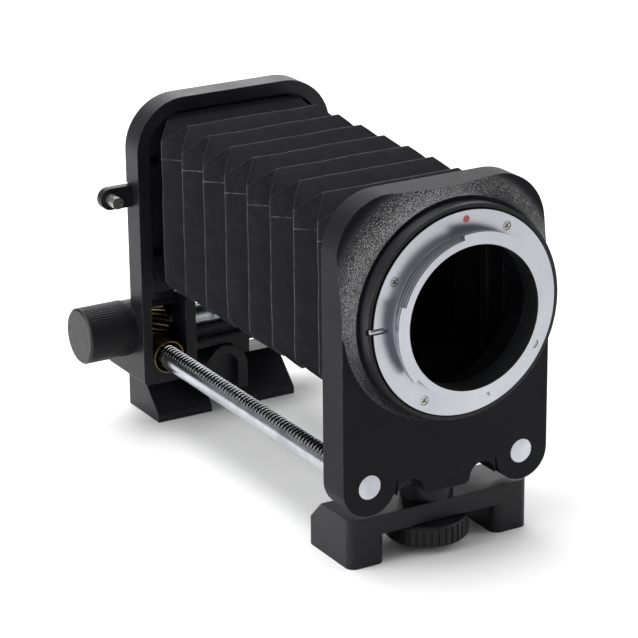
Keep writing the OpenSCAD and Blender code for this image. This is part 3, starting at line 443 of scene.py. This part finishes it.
def coated_cloth(name, colour, worn_colour):
    """Rubberised cotton over card: matt black weave, with the coating rubbed off the fold edges."""
    material, tree, shader = new_material(name, Roughness=0.85, IOR=1.45, Specular_IOR_Level=0.25,
                                          Sheen_Weight=0.05, Sheen_Roughness=0.5)
    cloth = add_node(tree, "ShaderNodeUVMap", uv_map="cloth").outputs["UV"]
    crease = add_node(tree, "ShaderNodeAttribute", attribute_name="crease").outputs["Fac"]
    # Threads are 0.3 mm apart on the real cloth and are drawn at 0.5 mm so that they show.
    warp, weft = (waves(tree, component(tree, cloth, axis), 0.5) for axis in "XY")
    weave = calc(tree, "MULTIPLY", warp, weft)
    dust = grain(tree, cloth, 5.0, detail=6.0, rough=0.65)
    body = mixed(tree, between(tree, dust, 0.38, 0.72), linear(colour), linear("#17171e"))
    patches = between(tree, grain(tree, cloth, 3.0, detail=5.0), 0.34, 0.68)
    scuffed = calc(tree, "MULTIPLY", crease, patches)
    tree.links.new(mixed(tree, scuffed, body, linear(worn_colour)), shader.inputs["Base Color"])
    threads = calc(tree, "MULTIPLY", weave, 0.35)
    height = calc(tree, "ADD", threads, calc(tree, "MULTIPLY", dust, 1.2))
    raise_surface(tree, shader, height, 0.12, 0.6)
    return material


def studio_floor(name, colour):
    """Matt white seamless paper."""
    material, tree, shader = new_material(name, Roughness=0.9, IOR=1.3)
    point = object_point(tree)
    tree.links.new(mixed(tree, grain(tree, point, 60.0), linear(colour), linear("#eeeeee")),
                   shader.inputs["Base Color"])
    return material


# ------------------------------------------------------------------ the folded cloth


def ring_outline(share, half_width, half_height, cloth):
    """Points round one ring as (x, z, crease).

    The sides fold half a pitch after the top and bottom: at share 1 the top and bottom are out
    and the sides in, at share 0 the other way round.
    """
    width = half_width - cloth.depth * share
    height = half_height - cloth.depth * (1 - share)
    seam = half_height - cloth.depth - cloth.seam_below
    # How far a ridge, a seam and a corner have rubbed, and the rubbed line's reach to each side.
    ridge, stitched, corner, line = 0.5, 0.85, 0.3, 0.28 * MM
    top_ridge = ridge if share == 1.0 else 0.0
    side_ridge = ridge if share == 0.0 else 0.0
    side = [(height - line, 0.0), (seam + line, 0.0), (seam, stitched), (seam - line, 0.0)]
    side += [(seam * f, 0.0) for f in (0.72, 0.44, 0.15, -0.15, -0.44, -0.72, -1.0)]
    side += [(line - height, 0.0)]
    side = [(z, max(c, side_ridge)) for z, c in side]
    across = [20 * MM * f for f in (-1, -0.7, -0.4, -0.13, 0.13, 0.4, 0.7, 1)]
    top = [(x, top_ridge) for x in (line - width, *across, width - line)]
    # Down the right side, along the bottom, up the left side and along the top.
    points = [(width, height, corner)] + [(width, z, c) for z, c in side]
    points += [(width, -height, corner)] + [(-x, -height, c) for x, c in top]
    points += [(-width, -height, corner)] + [(-width, z, c) for z, c in reversed(side)]
    points += [(-width, height, corner)] + [(x, height, c) for x, c in top]
    return points


def fold_drop(distance, radius):
    """How far a panel at 45 degrees has dropped at a distance from a ridge of this radius."""
    return distance * distance / (2 * radius) if distance < radius else distance - radius / 2


def fold_stations(start, end, cloth):
    """Rings along the cloth as (y, share, developed length)."""
    pitch = (end - start - cloth.start - cloth.stop) / cloth.folds
    half = pitch / 2
    slope = math.hypot(half, cloth.depth) / half
    whole = fold_drop(half, cloth.ridge) - cloth.ridge / 2
    near = [0.0, 0.5 * cloth.ridge, cloth.ridge]
    steps = near + [half * f for f in (0.25, 0.5, 0.75)] + [half - d for d in reversed(near[1:])]
    stations = [(start, 1 - cloth.start / half, 0.0)]
    for i in range(2 * cloth.folds):
        for d in steps:
            drop = fold_drop(min(d, half - d), cloth.ridge) / whole
            fallen = drop if d <= half / 2 else 1 - drop
            y = start + cloth.start + i * half + d
            stations.append((y, 1 - fallen if i % 2 == 0 else fallen, (y - start) * slope))
    stations.append((end - cloth.stop, 1.0, (end - start - cloth.stop) * slope))
    stations.append((end, 1 - cloth.stop / half, (end - start) * slope))
    return stations


def slack(point, share):
    """How far the cloth stands off its flat panels: a slight pillow and the waves of old card."""
    pillow = 0.25 * MM * math.sin(math.pi * share)
    wave = noise.noise(Vector(point) / (11 * MM)) * 0.35 * MM
    fine = noise.noise(Vector(point) / (3.5 * MM)) * 0.1 * MM
    return pillow + wave + fine


def cloth_rings(build, cloth, low, high):
    """The cloth's rings, as lists of (vertex, place on the flat cloth)."""
    half_width = (high.x - low.x) / 2
    half_height = (high.z - low.z) / 2
    middle_z = (high.z + low.z) / 2
    glued = 0.5 * MM
    crease_layer = build.verts.layers.float["crease"]
    rings = []
    for y, share, length in fold_stations(low.y, high.y, cloth):
        ring = []
        walked = 0.0
        last = None
        for x, z, line in ring_outline(share, half_width, half_height, cloth):
            at_end = min(y - low.y, high.y - y) < glued
            off = 0.0 if at_end else slack((x, y, z), share)
            radial = Vector((x, 0, z)).normalized() * off
            vertex = build.verts.new((x + radial.x, y, z + radial.z + middle_z))
            vertex[crease_layer] = line
            if last is not None:
                walked += math.hypot(x - last[0], z - last[1])
            last = (x, z)
            ring.append((vertex, (walked, length)))
        rings.append(ring)
    return rings


def cloth_panels(build, rings):
    """Joins the rings with faces, whose UV map is the flat cloth."""
    uv_layer = build.loops.layers.uv["cloth"]
    last_panel = 1 * MM
    count = len(rings[0])
    for near, far in zip(rings, rings[1:]):
        for k in range(count):
            corners = [near[k], near[(k + 1) % count], far[(k + 1) % count], far[k]]
            face = build.faces.new([vertex for vertex, place in corners])
            for loop, (vertex, (u, v)) in zip(face.loops, corners):
                if k == count - 1 and u == 0.0:
                    u = near[k][1][0] + last_panel
                loop[uv_layer].uv = (u, v)


def folded_cloth(cloth, finishes):
    """The bellows: one skin of cloth and card, pleated between its two frames."""
    low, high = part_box("bellows")
    mesh = bpy.data.meshes.new("bellows_cloth")
    build = bmesh.new()
    build.verts.layers.float.new("crease")
    build.loops.layers.uv.new("cloth")
    cloth_panels(build, cloth_rings(build, cloth, low, high))
    bmesh.ops.recalc_face_normals(build, faces=build.faces)
    build.to_mesh(mesh)
    build.free()
    mesh.shade_smooth()
    mesh.set_sharp_from_angle(angle=math.radians(28))
    piece = bpy.data.objects.new("bellows_cloth", mesh)
    bpy.context.scene.collection.objects.link(piece)
    mesh.materials.append(coated_cloth("rubberised_cotton_on_card", finishes.cloth, finishes.worn))
    solid = piece.modifiers.new("thickness", "SOLIDIFY")
    solid.thickness = cloth.thickness
    solid.offset = -1.0
    apply_modifiers(piece)
    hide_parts("bellows")
    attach(piece, "camera_side")
    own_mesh(piece)


def apply_modifiers(piece):
    """Bakes a piece's modifiers into its mesh."""
    evaluated = piece.evaluated_get(bpy.context.evaluated_depsgraph_get())
    baked = bpy.data.meshes.new_from_object(evaluated)
    piece.modifiers.clear()
    piece.data = baked


# ------------------------------------------------------------------ the carved castings

# The round roof over the pinion, outside and inside, and the boss that the knob's hub turns in.
ROOF_RADIUS, CAVITY_RADIUS, HUB_RADIUS = 9.5 * MM, 7.8 * MM, 6.8 * MM
BOSS_REACH, BOSS_SUNK = 1.3 * MM, 0.2 * MM
# The pinion's window, from the block's outer side and from its inner side.
WINDOW_FROM, WINDOW_TO = 3 * MM, 3.4 * MM
# The wall that closes the window's top behind the plate: its thickness, its low edge over the
# shaft's axis and its high edge below the CAD block's top.
WALL_THICKNESS, WALL_OVER_SHAFT, WALL_BELOW_TOP = 1.6 * MM, 6.8 * MM, 0.6 * MM
# The low top lies this far over the shaft's axis.
TOP_OVER_SHAFT = 0.1 * MM
# A cutter reaches this far past what it cuts.
MARGIN = 3 * MM
# The cut that shortens a lug: its radii, its depth from the tube's front and its angles, degrees.
LUG_CUT_INNER, LUG_CUT_OUTER, LUG_CUT_DEPTH = 25.41 * MM, 28 * MM, 1.9 * MM
LUG_CUT_FROM, LUG_CUT_TO = -44, -18
# Edges sharper than this stay sharp on a carved piece.
CARVED_EDGE = math.radians(30)


def round_points(centre_y, centre_z, radius, start, end, steps=32):
    """Points (y, z) of an arc, from one angle in degrees to the other."""
    angles = [math.radians(start + (end - start) * i / steps) for i in range(steps + 1)]
    return [(centre_y + radius * math.cos(a), centre_z + radius * math.sin(a)) for a in angles]


def cast_solid(name, outline, low_x, high_x):
    """A closed solid: a (y, z) outline drawn along X."""
    mesh = bpy.data.meshes.new(name)
    build = bmesh.new()
    near = [build.verts.new((low_x, y, z)) for y, z in outline]
    far = [build.verts.new((high_x, y, z)) for y, z in outline]
    build.faces.new(near)
    build.faces.new(far[::-1])
    for k in range(len(outline)):
        j = (k + 1) % len(outline)
        build.faces.new((near[k], near[j], far[j], far[k]))
    bmesh.ops.recalc_face_normals(build, faces=build.faces)
    build.to_mesh(mesh)
    build.free()
    piece = bpy.data.objects.new(name, mesh)
    bpy.context.scene.collection.objects.link(piece)
    return piece


def disc_outline(shaft, radius):
    """The (y, z) outline of a disc round the shaft, with a point every 6 degrees."""
    return round_points(shaft.y, shaft.z, radius, 0, 354, 59)


def combine(piece, other, operation):
    """Cuts or joins another solid and takes that solid away."""
    modifier = piece.modifiers.new("combine", "BOOLEAN")
    modifier.operation = operation
    modifier.solver = "EXACT"
    modifier.object = other
    apply_modifiers(piece)
    bpy.data.objects.remove(other)


def carving_blank(node, name):
    """A copy of a CAD node to carve, without its material and the normals of its old faces."""
    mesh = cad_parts[node].data.copy()
    mesh.materials.clear()
    if "custom_normal" in mesh.attributes:
        mesh.attributes.remove(mesh.attributes["custom_normal"])
    piece = bpy.data.objects.new(name, mesh)
    bpy.context.scene.collection.objects.link(piece)
    return piece


def roof_start(plate_back, shaft):
    """Degrees round the shaft at which the roof's circle meets the back of the plate."""
    return math.degrees(math.acos((plate_back - shaft.y) / ROOF_RADIUS))


def add_housing(piece, low, high, plate_back, shaft):
    """Adds the pinion's round roof, the wall over its window and the boss round the knob's hub."""
    # The roof's ends reach 3 degrees into the plate and 6 degrees into the block.
    inside_plate, inside_block = roof_start(plate_back, shaft) + 3, -6
    shell = round_points(shaft.y, shaft.z, ROOF_RADIUS, inside_plate, inside_block)
    shell += round_points(shaft.y, shaft.z, CAVITY_RADIUS, inside_block, inside_plate)
    window = (low.x + WINDOW_FROM, high.x - WINDOW_TO)
    combine(piece, cast_solid("roof", shell, *window), "UNION")
    wall_low, wall_high = shaft.z + WALL_OVER_SHAFT, high.z - WALL_BELOW_TOP
    wall_back = plate_back + WALL_THICKNESS
    wall = [(plate_back, wall_low), (wall_back, wall_low),
            (wall_back, wall_high), (plate_back, wall_high)]
    combine(piece, cast_solid("wall", wall, *window), "UNION")
    boss = disc_outline(shaft, ROOF_RADIUS)
    combine(piece, cast_solid("boss", boss, low.x - BOSS_REACH, low.x + BOSS_SUNK), "UNION")
    hub = disc_outline(shaft, HUB_RADIUS)
    combine(piece, cast_solid("hub_cut", hub, low.x - MARGIN, low.x), "DIFFERENCE")


def low_block(node, name, housing):
    """A rod block that is low behind the plate, as a copy of the CAD block with its top taken down.

    With a housing, a round roof goes over the pinion, and a round boss stands out of its side.
    """
    piece = carving_blank(node, name)
    low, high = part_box(node)
    plate_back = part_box("lens_standard")[1].y
    shaft = centre("pinion_shaft")
    low_top = shaft.z + TOP_OVER_SHAFT
    behind, above = high.y + MARGIN, high.z + MARGIN
    over = [(plate_back, low_top)]
    if housing:
        # Degrees at which the roof's circle comes down to the low top.
        meets_top = 0.6
        start = roof_start(plate_back, shaft)
        over = round_points(shaft.y, shaft.z, ROOF_RADIUS, start, meets_top)
    outline = over + [(behind, low_top), (behind, above), (plate_back, above)]
    combine(piece, cast_solid("top_cut", outline, low.x - MARGIN, high.x + MARGIN), "DIFFERENCE")
    if housing:
        add_housing(piece, low, high, plate_back, shaft)
    piece.data.shade_smooth()
    piece.data.set_sharp_from_angle(angle=CARVED_EDGE)
    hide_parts(node)
    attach(piece, "lens_side")
    return piece


def shorter_lug(node, name):
    """The camera bayonet, as a copy of the CAD ring with one lug shortened to show its screw."""
    piece = carving_blank(node, name)
    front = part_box(node)[0].y
    outline = round_points(0, 0, LUG_CUT_INNER, LUG_CUT_FROM, LUG_CUT_TO, steps=12)
    outline += round_points(0, 0, LUG_CUT_OUTER, LUG_CUT_TO, LUG_CUT_FROM, steps=12)
    cutter = cast_solid("lug_cut", outline, -front - LUG_CUT_DEPTH, -front + MARGIN)
    # The outline lies across X. A quarter turn puts it across Y, with its high end in front.
    cutter.data.transform(Matrix(((0, 1, 0, 0), (-1, 0, 0, 0), (0, 0, 1, 0), (0, 0, 0, 1))))
    combine(piece, cutter, "DIFFERENCE")
    piece.data.shade_smooth()
    piece.data.set_sharp_from_angle(angle=CARVED_EDGE)
    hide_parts(node)
    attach(piece, "camera_side")
    return piece


# ------------------------------------------------------------------ operators


class BELLOWS_OT_cloth(bpy.types.Operator):
    """Pleat the cloth between the two standards"""

    bl_idname = "bellows.cloth"
    bl_label = "Folded Cloth"

    def execute(self, context):
        scene = context.scene
        folded_cloth(scene.bellows_cloth, scene.bellows_finishes)
        return {"FINISHED"}


class BELLOWS_OT_castings(bpy.types.Operator):
    """Paint the standards, the feet, the frames and the release tab, and carve the rod blocks"""

    bl_idname = "bellows.castings"
    bl_label = "Painted Castings"

    def execute(self, context):
        paint = context.scene.bellows_finishes.paint
        crinkle = stoved_paint("crinkle_enamelled_aluminium", paint, crinkle=True)
        dress(crinkle, "camera_standard")
        satin = stoved_paint("satin_enamelled_aluminium", paint)
        dress(satin, "mount_collar", "camera_bellows_frame", "lens_bellows_frame", "lens_standard",
              "block_bridge", "camera_foot", "lens_foot", "release_tab")
        for block in (low_block("left_rod_block", "left_rod_casting", housing=True),
                      low_block("right_rod_block", "right_rod_casting", housing=False)):
            block.data.materials.append(satin)
        return {"FINISHED"}


class BELLOWS_OT_bayonets(bpy.types.Operator):
    """Plate the two bayonet rings, shorten a lug and enamel the index dots"""

    bl_idname = "bellows.bayonets"
    bl_label = "Bayonet Rings"

    def execute(self, context):
        finishes = context.scene.bellows_finishes
        ring = satin_chrome("satin_chromed_brass", finishes.chrome)
        dress(ring, "lens_bayonet")
        shorter_lug("camera_bayonet", "camera_bayonet_ring").data.materials.append(ring)
        dress(red_enamel("baked_red_enamel", finishes.enamel), "index_dot", "lens_index_dot")
        return {"FINISHED"}


class BELLOWS_OT_rods(bpy.types.Operator):
    """Finish the rods, the bushes that run on them and the lock pin"""

    bl_idname = "bellows.rods"
    bl_label = "Rods"

    def execute(self, context):
        finishes = context.scene.bellows_finishes
        low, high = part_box("rack_rod")
        core = tuple(centre("rack_rod"))
        radius_mm = (high.x - low.x) / 2 / MM
        teeth_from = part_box("camera_bellows_frame")[0].y
        rack = bright_chrome("hard_chromed_rack_steel", finishes.rod, core, radius_mm, teeth_from)
        dress(rack, "rack_rod")
        plain = bright_chrome("hard_chromed_steel", finishes.rod)
        dress(plain, "plain_rod", "lock_pin", "tension_nut")
        rod = centre("plain_rod")
        rim_mm = (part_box("rod_bushes")[1].x - rod.x) / MM
        bush = machined_brass("turned_brass", finishes.bush, "Y", tuple(rod),
                              rim_mm - 0.45, rim_mm - 0.25)
        dress(bush, "rod_bushes", "lock_pad")
        return {"FINISHED"}


class BELLOWS_OT_drive(bpy.types.Operator):
    """Finish the pinion, the knobs and the thumb wheel"""

    bl_idname = "bellows.drive"
    bl_label = "Focus Drive and Knobs"

    def execute(self, context):
        finishes = context.scene.bellows_finishes
        low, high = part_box("pinion_gear")
        outer_mm = (high.z - low.z) / 2 / MM
        brass = machined_brass("hobbed_brass", finishes.brass, "X", tuple(centre("pinion_gear")),
                               outer_mm - 1.3, outer_mm - 0.3)
        dress(brass, "pinion_gear")
        for name, node, groove_mm in (("anodised_aluminium", "focus_knob", 0.3),
                                      ("black_anodised_aluminium", "lock_knob", 0.4)):
            dress(anodised_knob(name, finishes.plastic, node, groove_mm), node)
        dress(moulded_plastic("moulded_abs", finishes.plastic), "thumb_wheel")
        return {"FINISHED"}


class BELLOWS_OT_screws(bpy.types.Operator):
    """Finish the screws, pins, washer and springs"""

    bl_idname = "bellows.screws"
    bl_label = "Screws and Pins"

    def execute(self, context):
        steel = turned_steel("zinc_plated_steel", context.scene.bellows_finishes.steel)
        dress(steel, "mount_screws", "lens_mount_screws", "rod_stops", "tab_screw", "tab_stud",
              "release_spring", "clamp_washer", "clamp_stud", "pinion_shaft")
        dress(blackened_steel("black_oxide_steel"), "camera_frame_screws", "lens_frame_screws",
              "rod_grub_screws", "lens_foot_screws", "knob_grub_screw")
        return {"FINISHED"}


class BELLOWS_OT_stage(bpy.types.Operator):
    """Set the floor, the lights and the camera"""

    bl_idname = "bellows.stage"
    bl_label = "Studio"

    def execute(self, context):
        stage = context.scene.bellows_stage
        place_floor(stage)
        place_lights(context.scene)
        place_camera(context.scene, stage)
        return {"FINISHED"}


# ------------------------------------------------------------------ studio


# Soft boxes: place and size in metres, and watts. A large one above, one at the left, a weak one at
# the right and a low one behind.
SOFT_BOXES = {
    "top_box": ((-0.1, 0.25, 0.95), (1.1, 1.1), 14.5),
    "left_box": ((-1.0, 0.15, 0.35), (0.8, 0.9), 10.5),
    "right_box": ((0.9, -0.35, 0.4), (0.5, 0.6), 3.0),
    "back_box": ((0.65, 1.2, 0.42), (1.5, 0.5), 7.0),
}
LIGHTS_AIM = (0.0, 0.08, -0.02)
SKY_STRENGTH = 0.32
FLOOR_HALF_SIZE, FLOOR_GAP = 4.0, 0.05 * MM


def place_floor(stage):
    """A pale floor that the feet stand on."""
    low, high = cad_box
    mesh = bpy.data.meshes.new("floor")
    build = bmesh.new()
    bmesh.ops.create_grid(build, x_segments=1, y_segments=1, size=FLOOR_HALF_SIZE)
    build.to_mesh(mesh)
    build.free()
    floor = bpy.data.objects.new("floor", mesh)
    floor.location = (0, 0, low.z - FLOOR_GAP)
    mesh.materials.append(studio_floor("seamless_paper", stage.floor))
    bpy.context.scene.collection.objects.link(floor)


def soft_box(name, place, size, watts):
    """A rectangular soft light that faces the unit."""
    light = bpy.data.lights.new(name, "AREA")
    light.shape = "RECTANGLE"
    light.size, light.size_y = size
    light.energy = watts
    holder = bpy.data.objects.new(name, light)
    holder.location = place
    holder.rotation_euler = (Vector(LIGHTS_AIM) - Vector(place)).to_track_quat("-Z", "Y").to_euler()
    bpy.context.scene.collection.objects.link(holder)


def place_lights(scene):
    """Plain soft studio light, and a sky that the camera sees as white."""
    for name, (place, size, watts) in SOFT_BOXES.items():
        soft_box(name, place, size, watts)
    world = bpy.data.worlds.new("studio")
    world.use_nodes = True
    tree = world.node_tree
    background = tree.nodes["Background"]
    background.inputs["Color"].default_value = linear("#ffffff")
    background.inputs["Strength"].default_value = SKY_STRENGTH
    white = add_node(tree, "ShaderNodeBackground", {"Color": linear("#ffffff"), "Strength": 1.0})
    seen = add_node(tree, "ShaderNodeLightPath").outputs["Is Camera Ray"]
    shown = {0: seen, 1: background.outputs[0], 2: white.outputs[0]}
    both = add_node(tree, "ShaderNodeMixShader", shown)
    tree.links.new(both.outputs[0], tree.nodes["World Output"].inputs["Surface"])
    scene.world = world
    scene.view_settings.view_transform = "Standard"


def place_camera(scene, stage):
    """The camera, from its angles and its distance from the mount."""
    az, el, roll = stage.azimuth, stage.elevation, stage.roll
    back = Vector((math.sin(az) * math.cos(el), -math.cos(az) * math.cos(el), math.sin(el)))
    level = Vector((math.cos(az), math.sin(az), 0))
    up = back.cross(level)
    right = level * math.cos(roll) + up * math.sin(roll)
    top = up * math.cos(roll) - level * math.sin(roll)
    place = right * stage.offset[0] + top * stage.offset[1] + back * stage.distance
    place.y += stage.plate_front
    data = bpy.data.cameras.new("camera")
    data.lens = stage.lens
    data.sensor_width = 36.0
    camera = bpy.data.objects.new("camera", data)
    turn = Matrix((right, top, back)).transposed()
    camera.matrix_world = Matrix.Translation(place) @ turn.to_4x4()
    scene.collection.objects.link(camera)
    scene.camera = camera


# ------------------------------------------------------------------ add-on


SETTINGS = {"bellows_finishes": BellowsFinishes, "bellows_cloth": BellowsCloth,
            "bellows_stage": BellowsStage}
PIECES = (BELLOWS_OT_cloth, BELLOWS_OT_castings, BELLOWS_OT_bayonets, BELLOWS_OT_rods,
          BELLOWS_OT_drive, BELLOWS_OT_screws, BELLOWS_OT_stage)


class BELLOWS_PT_panel(bpy.types.Panel):
    """The unit's pieces and their settings"""

    bl_idname = "BELLOWS_PT_panel"
    bl_label = "Macro Bellows Unit"
    bl_space_type = "VIEW_3D"
    bl_region_type = "UI"
    bl_category = "Bellows"

    def draw(self, context):
        layout = self.layout
        for setting in SETTINGS:
            group = getattr(context.scene, setting)
            box = layout.box()
            for name in group.__annotations__:
                box.prop(group, name)
        for piece in PIECES:
            layout.operator(piece.bl_idname)


def register():
    for group in (*SETTINGS.values(), *PIECES, BELLOWS_PT_panel):
        bpy.utils.register_class(group)
    for name, group in SETTINGS.items():
        setattr(bpy.types.Scene, name, PointerProperty(type=group))


def unregister():
    for name in SETTINGS:
        delattr(bpy.types.Scene, name)
    for group in reversed((*SETTINGS.values(), *PIECES, BELLOWS_PT_panel)):
        bpy.utils.unregister_class(group)


def main():
    register()
    bpy.ops.bellows.cloth()
    bpy.ops.bellows.castings()
    bpy.ops.bellows.bayonets()
    bpy.ops.bellows.rods()
    bpy.ops.bellows.drive()
    bpy.ops.bellows.screws()
    bpy.ops.bellows.stage()


if __name__ == "__main__":
    main()
